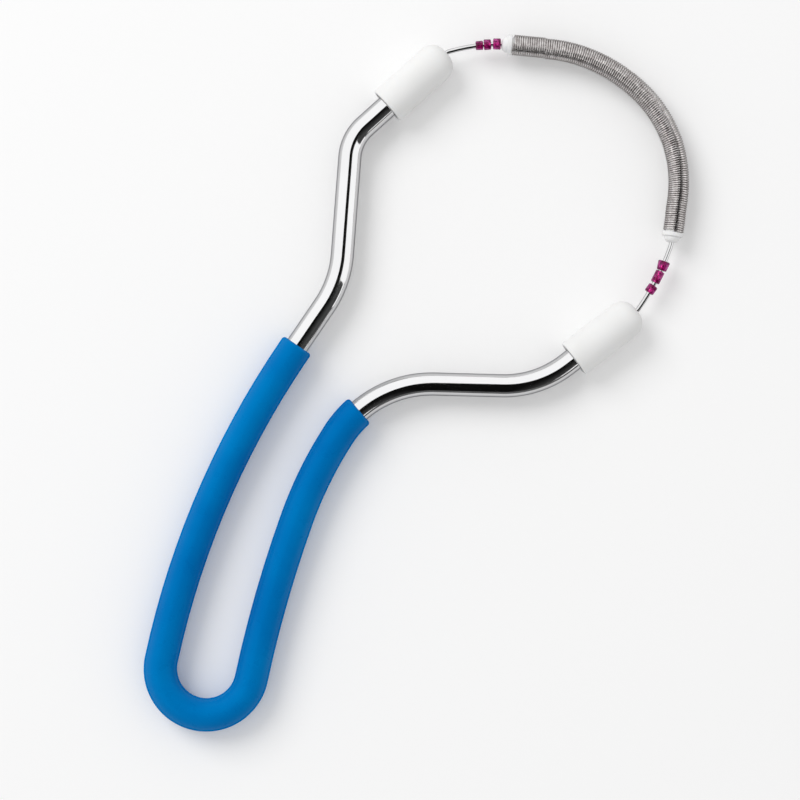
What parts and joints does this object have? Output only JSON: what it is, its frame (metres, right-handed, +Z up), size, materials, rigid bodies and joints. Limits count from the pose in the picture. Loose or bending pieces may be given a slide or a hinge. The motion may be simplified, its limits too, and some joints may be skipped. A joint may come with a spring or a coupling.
{
  "type": "facial hair removal spring",
  "caption": "Facial hair removal spring: a close-wound coil bent over a looped steel frame, with white end caps, magenta beads and a blue vinyl grip.",
  "frame": {"origin": "middle of the outline, on the surface the tool lies on", "axes": "+Y from the handle's loop to the spring's crown, +Z up from the surface"},
  "size_m": [0.066, 0.136, 0.0068],
  "materials": {
    "polished_steel": "polished",
    "blue_vinyl": "glossy soft vinyl",
    "white_plastic": "matt",
    "wire_steel": "drawn wire",
    "spring_steel": "drawn spring wire",
    "plug_plastic": "smooth",
    "bead_plastic": "translucent magenta"
  },
  "bodies": {
    "root": {"frame_rod": "polished_steel", "grip_sleeve": "blue_vinyl", "end_cap_left": "white_plastic", "end_cap_right": "white_plastic", "core_wire": "wire_steel", "coil_spring": "spring_steel", "end_plug_left": "plug_plastic", "end_plug_right": "plug_plastic", "bead_left_1": "bead_plastic", "bead_left_2": "bead_plastic", "bead_left_3": "bead_plastic", "bead_right_1": "bead_plastic", "bead_right_2": "bead_plastic", "bead_right_3": "bead_plastic"}
  },
  "joints": []
}
